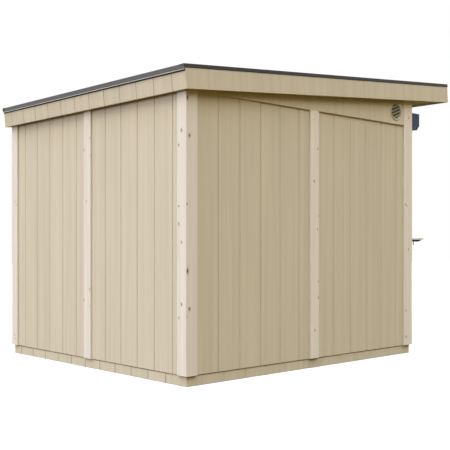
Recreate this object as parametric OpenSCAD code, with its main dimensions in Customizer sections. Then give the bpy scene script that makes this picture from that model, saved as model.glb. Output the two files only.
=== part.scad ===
// Pent-roofed wooden kiosk: a timber floor on bearers, boarded wall panels between posts,
// a raised roof box with an overhang over the serving hatch, a counter and a rolled-up shutter.
// Millimetres. The hatch faces -Y, +Z is up, the origin is on the ground under the middle of the plinth.

/* [Plinth and floor] */
// Width of the plinth from side to side
plinth_w = 2455; // [1800:5:4000]
// Depth of the plinth from front to back
plinth_d = 2595; // [1800:5:4000]
// Height of the plinth, which is the floor level
plinth_h = 75; // [60:1:200]
// Thickness of the plinth boards
plinth_t = 18; // [12:1:28]
// Thickness of the floor deck
floor_t = 18; // [12:1:30]
// Width of a floor bearer
bearer_w = 45; // [35:1:90]
// Widest spacing of the floor bearers
bearer_step = 640; // [400:10:900]

/* [Walls] */
// Height of a wall panel above the floor
panel_h = 1973; // [1700:1:2600]
// Thickness of a wall panel, boards, frame and lining together
panel_t = 64; // [45:1:90]
// How far the wall boards stand out past the plinth
panel_proud = 5.5; // [2:0.5:10]

/* [Posts] */
// Width of a corner post
post_w = 102; // [90:1:140]
// Extra depth of the two posts beside the hatch
hatch_post_extra = 20; // [0:1:40]
// Width of a post in the middle of a wall
mid_post_w = 100; // [60:1:140]
// How far the posts stand out past the plinth
post_proud = 20; // [14:1:35]
// How far the gables stay behind the face of the posts
gable_setback = 2; // [0:0.5:5]

/* [Roof] */
// Slope of the roof, rising towards the hatch
roof_pitch = 5; // [2:0.5:10]
// Overhang past the plinth at each side
side_overhang = 71; // [60:1:140]
// Overhang past the plinth at the back
back_overhang = 58; // [50:1:140]
// Overhang past the plinth over the hatch
front_overhang = 523; // [400:1:900]
// Height of the fascia boards
fascia_h = 168; // [150:1:260]
// Thickness of the fascia boards
fascia_t = 19; // [14:1:28]
// How far the soffit lies above the lower edge of the fascia
soffit_recess = 12; // [4:1:30]
// Thickness of the soffit boards
soffit_t = 12; // [8:1:20]
// Width of a rafter
rafter_w = 45; // [35:1:60]
// Widest spacing of the rafters
rafter_step = 650; // [400:10:900]
// Thickness of the blocks between the rafters over the back wall
block_t = 45; // [25:1:60]
// Thickness of the roof deck
deck_t = 18; // [12:1:30]
// Thickness of the roof covering
covering_t = 2; // [1:0.5:5]

/* [Metal edge trims] */
// Thickness of the edge trim
trim_t = 2.5; // [1:0.5:4]
// Width of the trim on top of the roof
trim_flange = 60; // [30:1:120]
// Height of the trim face at the sides and over the hatch
trim_h = 28; // [15:1:60]
// Height of the trim face at the low back edge
back_trim_h = 41; // [15:1:80]
// How far the face of the back trim hangs clear of the fascia
back_trim_gap = 8; // [0:1:20]

/* [Vents] */
// Diameter of the vent flange
vent_flange_d = 160; // [120:1:170]
// Thickness of the vent flange
vent_flange_t = 6; // [3:1:10]
// Width of the flange rim round the slots
vent_rim = 11; // [6:1:20]
// How much narrower the bore in the gable is than the slotted field
vent_lap = 8; // [2:1:20]
// Rows of slots across the vent, with a slat between each two
vent_rows = 5; // [3:1:9]
// Width of one slat
vent_slat_w = 12; // [4:1:16]
// Slope of the slats
vent_slant = 20; // [0:1:45]
// From the hatch post to the middle of the vent
vent_from_post = 124; // [95:1:300]
// From the top of the wall panels to the middle of the vent
vent_rise = 113; // [90:1:120]

/* [Hatch and shutter] */
// Height of the counter top above the ground
counter_z = 1041; // [850:1:1200]
// Thickness of the counter board
counter_t = 18; // [12:1:40]
// How far the counter reaches in front of the posts
counter_reach = 245; // [120:1:400]
// How far each counter end stays inside the plinth line
counter_inset = 20; // [0:1:60]
// Clearance between the counter and the hatch posts
counter_gap = 1; // [0.5:0.5:5]
// From the top of the wall panels down to the head of the hatch
hatch_drop = 18; // [0:1:120]
// Height of the shutter box
box_h = 152; // [120:1:200]
// Depth of the shutter box
box_d = 160; // [120:1:220]
// Chamfer along the box's lower outer edge
box_chamfer = 40; // [10:1:70]
// How far each box end stays inside the plinth line
box_inset = 15; // [0:1:28]
// Width of a guide rail
rail_w = 53; // [40:1:70]
// Depth of a guide rail
rail_d = 22; // [16:1:35]
// Depth of the rail's groove
rail_groove = 42; // [20:1:48]
// Thickness of the bar at the foot of the shutter
bar_t = 9; // [6:1:12]
// Height of the bar at the foot of the shutter
bar_h = 45; // [30:1:80]
// Clearance on each side of the bar in its groove
bar_clearance = 1; // [0.5:0.5:2]
// How far the bar reaches into each groove
bar_reach = 30; // [10:1:38]

/* [Counter brackets] */
// From the plinth line to the middle of an end bracket
bracket_inset = 45; // [30:1:60]
// Width of a bracket's wall plate
bracket_plate_w = 30; // [20:1:50]
// Height of a bracket's wall plate
bracket_plate_h = 150; // [80:1:300]
// Thickness of the bracket steel
bracket_t = 5; // [3:1:10]
// Length of a bracket's arm in front of the posts
bracket_arm = 226; // [100:1:240]
// Height of a bracket's arm
bracket_arm_h = 17; // [10:1:50]
// Height of the arm at its tip
bracket_tip_h = 6; // [3:1:12]
// Length of the arm's tapered end
bracket_taper = 45; // [20:1:80]
// Diameter of the release pin
pin_d = 8; // [5:1:12]
// How far the release pin hangs below the arm
pin_drop = 33; // [10:1:50]
// From the post face to the release pin
pin_out = 110; // [60:1:150]

/* [Door] */
// Width of a door jamb
jamb_w = 95; // [60:1:160]
// Thickness of the door leaf
door_t = 40; // [28:1:42]
// Gap round the door leaf
door_gap = 3; // [2:0.5:6]
// Gap under the door leaf
door_sill_gap = 5; // [3:1:15]
// Height of the frame's head above the leaf
door_head_h = 60; // [40:1:120]
// How far the door stop reaches over the opening
door_stop = 12; // [8:1:20]
// Height of a hinge
hinge_h = 100; // [60:5:150]
// Width of an open hinge
hinge_w = 70; // [50:1:90]
// Thickness of a hinge leaf
hinge_t = 3; // [2:0.5:5]
// Diameter of a hinge barrel
hinge_barrel = 12; // [8:1:16]
// From each end of the leaf to the middle of the nearest hinge
hinge_inset = 180; // [100:5:300]
// Height of the handle above the floor
handle_z = 1000; // [850:5:1100]
// From the leaf's closing edge to the handle
handle_back = 60; // [40:1:90]
// Width of the handle plate
handle_plate_w = 40; // [28:1:60]
// Height of the handle plate
handle_plate_h = 170; // [120:1:240]
// Thickness of the handle plate
handle_plate_t = 6; // [3:1:10]
// Diameter of the handle bar
handle_bar_d = 16; // [12:1:22]
// How far the handle stands out from its plate
handle_out = 40; // [25:1:60]
// Length of the lever
lever_l = 115; // [90:1:150]

/* [Hidden] */
$fn = 48;

// How far a cutting shape runs past the face that it cuts
cut_past = 1;

floor_z = plinth_h;
wall_top = floor_z + panel_h;

// Half sizes of the plinth, the board faces and the post faces
plinth_x = plinth_w / 2;
plinth_y = plinth_d / 2;
wall_x = plinth_x + panel_proud;
wall_y = plinth_y + panel_proud;
inner_x = wall_x - panel_t;
inner_y = wall_y - panel_t;
post_x = plinth_x + post_proud;
post_y = plinth_y + post_proud;
post_inner_x = post_x - post_w;
post_inner_y = post_y - post_w;
hatch_post_d = post_w + hatch_post_extra;
hatch_post_y = -post_y + hatch_post_d;
gable_x = post_x - gable_setback;

// The roof box is built level and then tilted about the lower edge of its back fascia
roof_y = plinth_y + back_overhang;
roof_z = wall_top - back_overhang * tan(roof_pitch);
roof_w = plinth_w + 2 * side_overhang;
roof_l = (roof_y + plinth_y + front_overhang) / cos(roof_pitch);
rafter_n = soffit_recess + soffit_t;
rafter_h = fascia_h - covering_t - deck_t - rafter_n;
deck_n = rafter_n + rafter_h;
covering_n = deck_n + deck_t;
box_in_x = roof_w / 2 - fascia_t;
soffit_start = (roof_y + post_y + rafter_n * sin(roof_pitch)) / cos(roof_pitch);
flange_in = trim_flange - trim_t;
trim_top = fascia_h + trim_t;

counter_under = counter_z - counter_t;
hatch_top = wall_top - hatch_drop;
box_x = plinth_x - box_inset;
counter_x = plinth_x - counter_inset;
bracket_x = plinth_x - bracket_inset;
rail_y = -post_y - rail_d / 2;

door_frame_from = hatch_post_y;
door_frame_to = -mid_post_w / 2;
door_from = door_frame_from + jamb_w + door_gap;
door_to = door_frame_to - jamb_w - door_gap;
door_foot = floor_z + door_sill_gap;
door_top = wall_top - door_head_h - door_gap;
door_in_x = wall_x - door_t;

vent_y = hatch_post_y + vent_from_post;
vent_z = wall_top + vent_rise;
vent_slot_d = vent_flange_d - 2 * vent_rim;
vent_bore_d = vent_slot_d - vent_lap;
vent_pitch = vent_slot_d / vent_rows;

// Odd counts, so that one bearer and one rafter lie on the middle line
bearers = 2 * ceil((plinth_w - 2 * plinth_t - bearer_w) / bearer_step / 2) + 1;
rafters = 2 * ceil((2 * box_in_x - rafter_w) / rafter_step / 2) + 1;

// Height of the rafters' underside at a place y
function under_roof(y) = roof_z + (roof_y - y) * tan(roof_pitch) + rafter_n / cos(roof_pitch);

// Middle of the rafter i, counted from the left
function rafter_x(i) = (box_in_x - rafter_w / 2) * (2 * i / (rafters - 1) - 1);

// A block between two corners
module block(low, high) {
    translate(low) cube(high - low);
}

// A block from z0 up to the sloping underside of the rafters
module under_roof_block(x0, x1, y0, y1, z0) {
    side = [[y0, z0], [y1, z0], [y1, under_roof(y1)], [y0, under_roof(y0)]];
    translate([x0, 0, 0]) rotate([90, 0, 90]) linear_extrude(x1 - x0) polygon(side);
}

// A block of the tilted roof box: s runs up the slope from the back edge, n is square to the roof
module roof_block(x0, x1, s0, s1, n0, n1) {
    translate([0, roof_y, roof_z]) rotate([-roof_pitch, 0, 0])
        block([x0, -s1, n0], [x1, -s0, n1]);
}

module floor_bearers() {
    first = -plinth_x + plinth_t + bearer_w / 2;
    step = -2 * first / (bearers - 1);
    in_y = plinth_y - plinth_t;
    color("tan")
    for (i = [0 : bearers - 1])
        translate([first + i * step, 0, 0])
            block([-bearer_w / 2, -in_y, 0], [bearer_w / 2, in_y, floor_z - floor_t]);
}

module floor_deck() {
    in_x = plinth_x - plinth_t;
    in_y = plinth_y - plinth_t;
    color("burlywood") block([-in_x, -in_y, floor_z - floor_t], [in_x, in_y, floor_z]);
}

module plinth_end(dir) {
    y = dir * (plinth_y - plinth_t / 2);
    in_x = plinth_x - plinth_t;
    color("tan") translate([0, y, 0])
        block([-in_x, -plinth_t / 2, 0], [in_x, plinth_t / 2, plinth_h]);
}

module plinth_side(dir) {
    color("tan") translate([dir * (plinth_x - plinth_t / 2), 0, 0])
        block([-plinth_t / 2, -plinth_y, 0], [plinth_t / 2, plinth_y, plinth_h]);
}

module plinth_back() { plinth_end(1); }
module plinth_front() { plinth_end(-1); }
module plinth_left() { plinth_side(-1); }
module plinth_right() { plinth_side(1); }

module back_corner_post() {
    color("antiquewhite") under_roof_block(post_inner_x, post_x, post_inner_y, post_y, floor_z);
}

module hatch_post() {
    color("antiquewhite") under_roof_block(post_inner_x, post_x, -post_y, hatch_post_y, floor_z);
}

module post_back_left() { mirror([1, 0, 0]) back_corner_post(); }
module post_back_right() { back_corner_post(); }
module post_front_left() { mirror([1, 0, 0]) hatch_post(); }
module post_front_right() { hatch_post(); }

module post_back_middle() {
    half = mid_post_w / 2;
    color("antiquewhite") under_roof_block(-half, half, inner_y, post_y, floor_z);
}

module side_middle_post() {
    half = mid_post_w / 2;
    color("antiquewhite") block([inner_x, -half, floor_z], [post_x, half, wall_top]);
}

module post_left_middle() { mirror([1, 0, 0]) side_middle_post(); }
module post_right_middle() { side_middle_post(); }

module back_panel() {
    color("wheat") under_roof_block(mid_post_w / 2, post_inner_x, inner_y, wall_y, floor_z);
}

module side_panel(from, to) {
    color("wheat") block([inner_x, from, floor_z], [wall_x, to, wall_top]);
}

module back_panel_left() { mirror([1, 0, 0]) back_panel(); }
module back_panel_right() { back_panel(); }
module left_panel_back() { mirror([1, 0, 0]) side_panel(mid_post_w / 2, post_inner_y); }
module left_panel_front() { mirror([1, 0, 0]) side_panel(hatch_post_y, -mid_post_w / 2); }
module right_panel_back() { side_panel(mid_post_w / 2, post_inner_y); }

// Two jambs and a head that fill the bay, with a stop behind the leaf
module door_frame() {
    open_top = door_top + door_gap;
    color("antiquewhite") difference() {
        block([inner_x, door_frame_from, floor_z], [wall_x, door_frame_to, wall_top]);
        block([door_in_x, door_from - door_gap, floor_z - cut_past],
              [wall_x + cut_past, door_to + door_gap, open_top]);
        block([inner_x - cut_past, door_from + door_stop, floor_z - cut_past],
              [door_in_x + cut_past, door_to - door_stop, door_top - door_stop]);
    }
}

module door_leaf() {
    color("wheat") block([door_in_x, door_from, door_foot], [wall_x, door_to, door_top]);
}

module hinge() {
    barrel_x = wall_x + hinge_barrel / 2;
    hinge_y = door_from - door_gap / 2;
    translate([0, hinge_y, -hinge_h / 2]) {
        block([wall_x, -hinge_w / 2, 0], [wall_x + hinge_t, hinge_w / 2, hinge_h]);
        translate([barrel_x, 0, 0]) cylinder(d = hinge_barrel, h = hinge_h);
    }
}

module handle() {
    plate_y = handle_plate_w / 2;
    plate_z = handle_plate_h / 2;
    bar_x = wall_x + handle_plate_t;
    block([wall_x, -plate_y, -plate_z], [bar_x, plate_y, plate_z]);
    translate([bar_x, 0, 0]) rotate([0, 90, 0]) cylinder(d = handle_bar_d, h = handle_out);
    translate([bar_x + handle_out, handle_bar_d / 2, 0]) rotate([90, 0, 0])
        cylinder(d = handle_bar_d, h = lever_l);
}

// Three hinges and a lever handle on the outside of the leaf
module door_fittings() {
    low = door_foot + hinge_inset;
    high = door_top - hinge_inset;
    color("silver") {
        for (z = [low, (low + high) / 2, high])
            translate([0, 0, z]) hinge();
        translate([0, door_to - handle_back, floor_z + handle_z]) handle();
    }
}

module front_parapet() {
    color("wheat")
        block([-post_inner_x, -wall_y, floor_z], [post_inner_x, -inner_y, counter_under]);
}

module front_header() {
    color("wheat") under_roof_block(-post_inner_x, post_inner_x, -wall_y, -inner_y, hatch_top);
}

// Close the spaces between the rafters over the back wall
module eave_blocks() {
    s0 = (roof_y - wall_y + rafter_n * sin(roof_pitch)) / cos(roof_pitch);
    color("tan")
    for (i = [1 : rafters - 1]) {
        x0 = rafter_x(i - 1) + rafter_w / 2;
        x1 = rafter_x(i) - rafter_w / 2;
        roof_block(x0, x1, s0, s0 + block_t, rafter_n, deck_n);
    }
}

// The wedge between the level panels and the rafters, bored for a vent
module gable() {
    color("wheat") difference() {
        under_roof_block(inner_x, gable_x, hatch_post_y, post_inner_y, wall_top);
        translate([inner_x - cut_past, vent_y, vent_z]) rotate([0, 90, 0])
            cylinder(d = vent_bore_d, h = gable_x - inner_x + 2 * cut_past);
    }
}

module gable_left() { mirror([1, 0, 0]) gable(); }
module gable_right() { gable(); }

// Round flange with sloping slats, on the face of the gable over its bore
module vent() {
    color("gainsboro") translate([gable_x, vent_y, vent_z]) rotate([0, 90, 0]) {
        difference() {
            cylinder(d = vent_flange_d, h = vent_flange_t);
            translate([0, 0, -cut_past]) cylinder(d = vent_slot_d, h = vent_flange_t + 2 * cut_past);
        }
        intersection() {
            cylinder(d = vent_slot_d + vent_rim, h = vent_flange_t);
            rotate([0, 0, 90 - vent_slant])
            for (i = [1 : vent_rows - 1])
                translate([-vent_slot_d, i * vent_pitch - vent_slot_d / 2 - vent_slat_w / 2, 0])
                    cube([2 * vent_slot_d, vent_slat_w, vent_flange_t]);
        }
    }
}

module vent_left() { mirror([1, 0, 0]) vent(); }
module vent_right() { vent(); }

module rafters() {
    half = rafter_w / 2;
    color("burlywood")
    for (i = [0 : rafters - 1])
        roof_block(rafter_x(i) - half, rafter_x(i) + half, fascia_t, roof_l - fascia_t, rafter_n, deck_n);
}

module roof_deck() {
    color("burlywood")
        roof_block(-box_in_x, box_in_x, fascia_t, roof_l - fascia_t, deck_n, covering_n);
}

module roof_covering() {
    color("dimgray")
        roof_block(-box_in_x, box_in_x, fascia_t, roof_l - fascia_t, covering_n, fascia_h);
}

module front_soffit() {
    color("burlywood")
        roof_block(-box_in_x, box_in_x, soffit_start, roof_l - fascia_t, soffit_recess, rafter_n);
}

module fascia_back() {
    color("tan") roof_block(-box_in_x, box_in_x, 0, fascia_t, 0, fascia_h);
}

module fascia_front() {
    color("tan") roof_block(-box_in_x, box_in_x, roof_l - fascia_t, roof_l, 0, fascia_h);
}

module fascia_left() {
    color("tan") roof_block(-roof_w / 2, -box_in_x, 0, roof_l, 0, fascia_h);
}

module fascia_right() {
    color("tan") roof_block(box_in_x, roof_w / 2, 0, roof_l, 0, fascia_h);
}

// Angle along the back or the hatch edge: a flange on the covering and a face down the fascia.
// dir points out of the roof. The flange ends at the side trims, and the face runs to the corners.
module end_trim(s_edge, dir, gap, face_h) {
    edge_x = roof_w / 2 - flange_in;
    low = trim_top - face_h;
    inner = s_edge + dir * gap;
    outer = inner + dir * trim_t;
    flange_end = s_edge - dir * flange_in;
    flange = [min(outer, flange_end), max(outer, flange_end)];
    face = [min(inner, outer), max(inner, outer)];
    color("dimgray") {
        roof_block(-edge_x, edge_x, flange[0], flange[1], fascia_h, trim_top);
        roof_block(-edge_x, edge_x, face[0], face[1], low, trim_top);
        roof_block(-roof_w / 2, roof_w / 2, face[0], face[1], low, fascia_h);
    }
}

// The same angle along a side edge, from the face of the back trim to that of the front one
module side_trim() {
    half = roof_w / 2;
    start = -back_trim_gap - trim_t;
    color("dimgray") {
        roof_block(half - flange_in, half + trim_t, start, roof_l + trim_t, fascia_h, trim_top);
        roof_block(half, half + trim_t, start, roof_l + trim_t, trim_top - trim_h, trim_top);
    }
}

module trim_back() { end_trim(0, -1, back_trim_gap, back_trim_h); }
module trim_front() { end_trim(roof_l, 1, 0, trim_h); }
module trim_left() { mirror([1, 0, 0]) side_trim(); }
module trim_right() { side_trim(); }

// Closed housing with its lower outer edge chamfered
module shutter_box() {
    out = -post_y - box_d;
    top = hatch_top + box_h;
    side = [[-post_y, hatch_top], [-post_y, top], [out, top], [out, hatch_top + box_chamfer],
            [out + box_chamfer, hatch_top]];
    color("darkslategray") translate([-box_x, 0, 0]) rotate([90, 0, 90])
        linear_extrude(2 * box_x) polygon(side);
}

// Grooved rails on the two hatch posts, open towards the hatch
module shutter_rails() {
    groove_w = bar_t + 2 * bar_clearance;
    color("darkslategray")
    for (side = [0, 1]) mirror([side, 0, 0]) difference() {
        block([post_inner_x, -post_y - rail_d, counter_z], [post_inner_x + rail_w, -post_y, hatch_top]);
        block([post_inner_x - cut_past, rail_y - groove_w / 2, counter_z - cut_past],
              [post_inner_x + rail_groove, rail_y + groove_w / 2, hatch_top + cut_past]);
    }
}

module shutter_bar() {
    reach = post_inner_x + bar_reach;
    color("lightslategray")
        block([-reach, rail_y - bar_t / 2, hatch_top - bar_h], [reach, rail_y + bar_t / 2, hatch_top]);
}

// Lies on the parapet between the posts and passes in front of them
module counter_board() {
    between = post_inner_x - counter_gap;
    color("whitesmoke") {
        block([-between, -post_y, counter_under], [between, -inner_y, counter_z]);
        block([-counter_x, -post_y - counter_reach, counter_under], [counter_x, -post_y, counter_z]);
    }
}

// Wall plate, tapered arm and release pin, fixed to a face at y = face
module bracket(face) {
    tip = -post_y - bracket_arm;
    under = counter_under - bracket_arm_h;
    arm = [[face, counter_under], [face, under], [tip + bracket_taper, under],
           [tip, counter_under - bracket_tip_h], [tip, counter_under]];
    block([-bracket_plate_w / 2, face - bracket_t, counter_under - bracket_plate_h],
          [bracket_plate_w / 2, face, counter_under]);
    translate([-bracket_t / 2, 0, 0]) rotate([90, 0, 90]) linear_extrude(bracket_t) polygon(arm);
    translate([0, -post_y - pin_out, under - pin_drop]) cylinder(d = pin_d, h = pin_drop + bracket_arm_h);
}

module counter_brackets() {
    color("dimgray") {
        translate([-bracket_x, 0, 0]) bracket(-post_y);
        bracket(-wall_y);
        translate([bracket_x, 0, 0]) bracket(-post_y);
    }
}

floor_bearers();
floor_deck();
plinth_back();
plinth_front();
plinth_left();
plinth_right();
post_back_left();
post_back_right();
post_front_left();
post_front_right();
post_back_middle();
post_left_middle();
post_right_middle();
back_panel_left();
back_panel_right();
left_panel_back();
left_panel_front();
right_panel_back();
door_frame();
door_leaf();
door_fittings();
front_parapet();
front_header();
eave_blocks();
gable_left();
gable_right();
vent_left();
vent_right();
rafters();
roof_deck();
roof_covering();
front_soffit();
fascia_back();
fascia_front();
fascia_left();
fascia_right();
trim_back();
trim_front();
trim_left();
trim_right();
shutter_box();
shutter_rails();
shutter_bar();
counter_board();
counter_brackets();
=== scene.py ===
import math
import random
from functools import partial

import bmesh
import bpy
from mathutils import Matrix, Vector


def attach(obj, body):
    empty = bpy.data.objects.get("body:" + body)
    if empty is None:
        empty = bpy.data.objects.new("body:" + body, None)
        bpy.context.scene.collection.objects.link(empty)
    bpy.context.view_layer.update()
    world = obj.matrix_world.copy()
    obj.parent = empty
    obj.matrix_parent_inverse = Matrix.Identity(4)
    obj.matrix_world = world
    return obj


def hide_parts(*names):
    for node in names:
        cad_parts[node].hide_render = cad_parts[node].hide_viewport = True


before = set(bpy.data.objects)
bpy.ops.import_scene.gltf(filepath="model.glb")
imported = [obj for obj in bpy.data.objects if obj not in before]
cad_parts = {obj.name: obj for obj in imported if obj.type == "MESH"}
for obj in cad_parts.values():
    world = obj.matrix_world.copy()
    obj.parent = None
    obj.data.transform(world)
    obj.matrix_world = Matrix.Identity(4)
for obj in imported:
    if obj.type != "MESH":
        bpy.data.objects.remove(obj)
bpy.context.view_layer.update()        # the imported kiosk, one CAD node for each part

mm = 0.001
print("frame loaded:", len(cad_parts), "nodes")


studio = {
    "cameraPlace": (-5.635, 4.889, 1.0),     # metres, a low eye height
    "cameraHeading": 226.415,                # degrees, level
    "lens": 65.778,
    "shift": (-0.0556, 0.0384),
    "lights": {     # degrees from +Y towards +X, degrees above the horizon, strength, degrees across, colour
        "keyLight": (25.0, 10.0, 1.15, 20.0, "#EAEBFF"),
        "fillLight": (160.0, 20.0, 0.55, 40.0, "#FFF8EC")},
    "dome": (       # sine of the height above the horizon, strength, colour
        (0.0, 0.16, "#FFF071"), (0.35, 0.24, "#FFD071"), (0.65, 2.66, "#FFFADF"), (1.0, 4.2, "#D7DCFF")),
    "floorSize": 60.0,
    "floorSeen": "#FFFFFF",                  # the floor's colour to the camera
    "floorBounce": "#4A3B10",                # what it sends back up at the kiosk
}


def linear(hexColour):
    channels = [int(hexColour[i:i + 2], 16) / 255 for i in (1, 3, 5)]
    return [c / 12.92 if c <= 0.04045 else ((c + 0.055) / 1.055) ** 2.4 for c in channels] + [1.0]


def plug(node, inputs):
    # links sockets to a node's inputs, or sets their values
    for key, value in inputs.items():
        if isinstance(value, bpy.types.NodeSocket):
            node.id_data.links.new(value, node.inputs[key])
        else:
            node.inputs[key].default_value = value


def addNode(tree, kind, inputs={}, output=0, **settings):
    # gives back one output of the node that it adds
    made = tree.nodes.new("ShaderNode" + kind)
    for key, value in settings.items():
        setattr(made, key, value)
    plug(made, inputs)
    return made.outputs[output] if made.outputs else None


def makeCamera():
    camera = bpy.data.objects.new("camera", bpy.data.cameras.new("camera"))
    camera.location = studio["cameraPlace"]
    camera.rotation_euler = (math.radians(90), 0, math.radians(studio["cameraHeading"]))
    camera.data.lens = studio["lens"]
    camera.data.sensor_width = 36
    camera.data.shift_x, camera.data.shift_y = studio["shift"]
    bpy.context.scene.collection.objects.link(camera)
    bpy.context.scene.camera = camera


def makeLight(name, heading, height, strength, softness, colour):
    light = bpy.data.objects.new(name, bpy.data.lights.new(name, "SUN"))
    light.data.energy = strength
    light.data.angle = math.radians(softness)
    light.data.color = linear(colour)[:3]
    toLight = Matrix.Rotation(-math.radians(heading), 3, "Z") @ Matrix.Rotation(math.radians(height), 3, "X")
    light.rotation_euler = (toLight @ Vector((0, 1, 0))).to_track_quat("Z", "Y").to_euler()
    bpy.context.scene.collection.objects.link(light)


def makeSky():
    # the dome lights the kiosk, and the camera and reflections see white in its place
    world = bpy.data.worlds.new("studioSky")
    bpy.context.scene.world = world
    world.use_nodes = True
    world.node_tree.nodes.clear()
    add = partial(addNode, world.node_tree)
    rise = add("SeparateXYZ", {0: add("TexCoord", output="Generated")}, "Z")
    brightest = max(strength for height, strength, colour in studio["dome"])
    ramp = add("ValToRGB", {0: rise})
    stops = ramp.node.color_ramp.elements
    for i, (height, strength, colour) in enumerate(studio["dome"]):
        stop = stops[i] if i < 2 else stops.new(height)
        stop.position = height
        stop.color = [c * strength / brightest for c in linear(colour)[:3]] + [1.0]
    above = add("Math", {0: rise, 1: 0.0}, operation="GREATER_THAN")
    strength = add("Math", {0: above, 1: brightest}, operation="MULTIPLY")
    lit = add("Background", {"Color": ramp, "Strength": strength})
    white = add("Background", {"Color": linear("#FFFFFF"), "Strength": 1.0})
    rays = add("LightPath").node.outputs
    shiny = add("Math", {0: rays["Is Glossy Ray"], 1: rays["Is Transmission Ray"]}, operation="MAXIMUM")
    seen = add("Math", {0: rays["Is Camera Ray"], 1: shiny}, operation="MAXIMUM")
    add("OutputWorld", {0: add("MixShader", {0: seen, 1: lit, 2: white})})


def newMaterial(name):
    material = bpy.data.materials.new(name)
    material.use_nodes = True
    material.node_tree.nodes.clear()
    add = partial(addNode, material.node_tree)
    shader = add("BsdfPrincipled")
    add("OutputMaterial", {0: shader})
    return material, add, shader.node


def makeObject(name, mesh, material):
    data = bpy.data.meshes.new(name)
    mesh.to_mesh(data)
    mesh.free()
    data.materials.append(material)
    made = bpy.data.objects.new(name, data)
    bpy.context.scene.collection.objects.link(made)
    return made


def makeFloor():
    material, add, surface = newMaterial("paleFloor")
    seen = add("LightPath", output="Is Camera Ray")
    colour = add("Mix", {0: seen, 6: linear(studio["floorBounce"]), 7: linear(studio["floorSeen"])}, 2,
                 data_type="RGBA")
    plug(surface, {"Base Color": colour, "Roughness": 0.9, "Specular IOR Level": 0.0})
    mesh = bmesh.new()
    bmesh.ops.create_grid(mesh, x_segments=1, y_segments=1, size=studio["floorSize"] / 2)
    makeObject("floor", mesh, material)


makeCamera()
for name, settings in studio["lights"].items():
    makeLight(name, *settings)
makeSky()
makeFloor()
bpy.context.scene.view_settings.view_transform = "Standard"
print("stage set")


# Colours are what the finish shows in plain daylight; sizes are millimetres.
woods = {
    "claddingSpruce": {       # pressure treated, planed: pale, a little green
        "early": "#DDD4C0", "late": "#CEC5AB", "knot": "#7A5C3E", "ring": 5.0, "ringShow": 0.2,
        "streak": 34.0, "streakShow": 0.06, "fibre": 1.4, "relief": 0.10, "rough": 0.66},
    "postSpruce": {           # planed and untreated: nearly white, with small dark knots
        "early": "#F0EAE3", "late": "#E2D8C9", "knot": "#75583F", "ring": 4.0, "ringShow": 0.3,
        "streak": 22.0, "streakShow": 0.06, "fibre": 1.2, "relief": 0.10, "rough": 0.62},
    "liningSpruce": {         # planed boards inside, kept out of the light, so still yellow
        "early": "#EAD8B8", "late": "#D6B98C", "knot": "#7D4F2B", "ring": 4.5, "ringShow": 0.55,
        "streak": 30.0, "streakShow": 0.10, "fibre": 1.2, "relief": 0.10, "rough": 0.6},
    "floorSpruce": {          # thicker boards underfoot, rubbed dull
        "early": "#D3BA92", "late": "#B4935F", "knot": "#6F4627", "ring": 5.0, "ringShow": 0.6,
        "streak": 40.0, "streakShow": 0.16, "fibre": 1.4, "relief": 0.15, "rough": 0.72},
    "jointShadeSpruce": {           # tongues in open joints, made nearly black as painted shade of the joint's depth
        "early": "#4E4232", "late": "#3A2F22", "knot": "#2E241A", "ring": 5.0, "ringShow": 0.3,
        "streak": 30.0, "streakShow": 0.10, "fibre": 1.4, "relief": 0.10, "rough": 0.75},
    "sawnSpruce": {           # bearers and rafters straight off the saw: furry and rough
        "early": "#D2B88F", "late": "#B8965F", "knot": "#6B4528", "ring": 5.5, "ringShow": 0.45,
        "streak": 30.0, "streakShow": 0.18, "fibre": 2.0, "relief": 0.45, "rough": 0.85},
}


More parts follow.
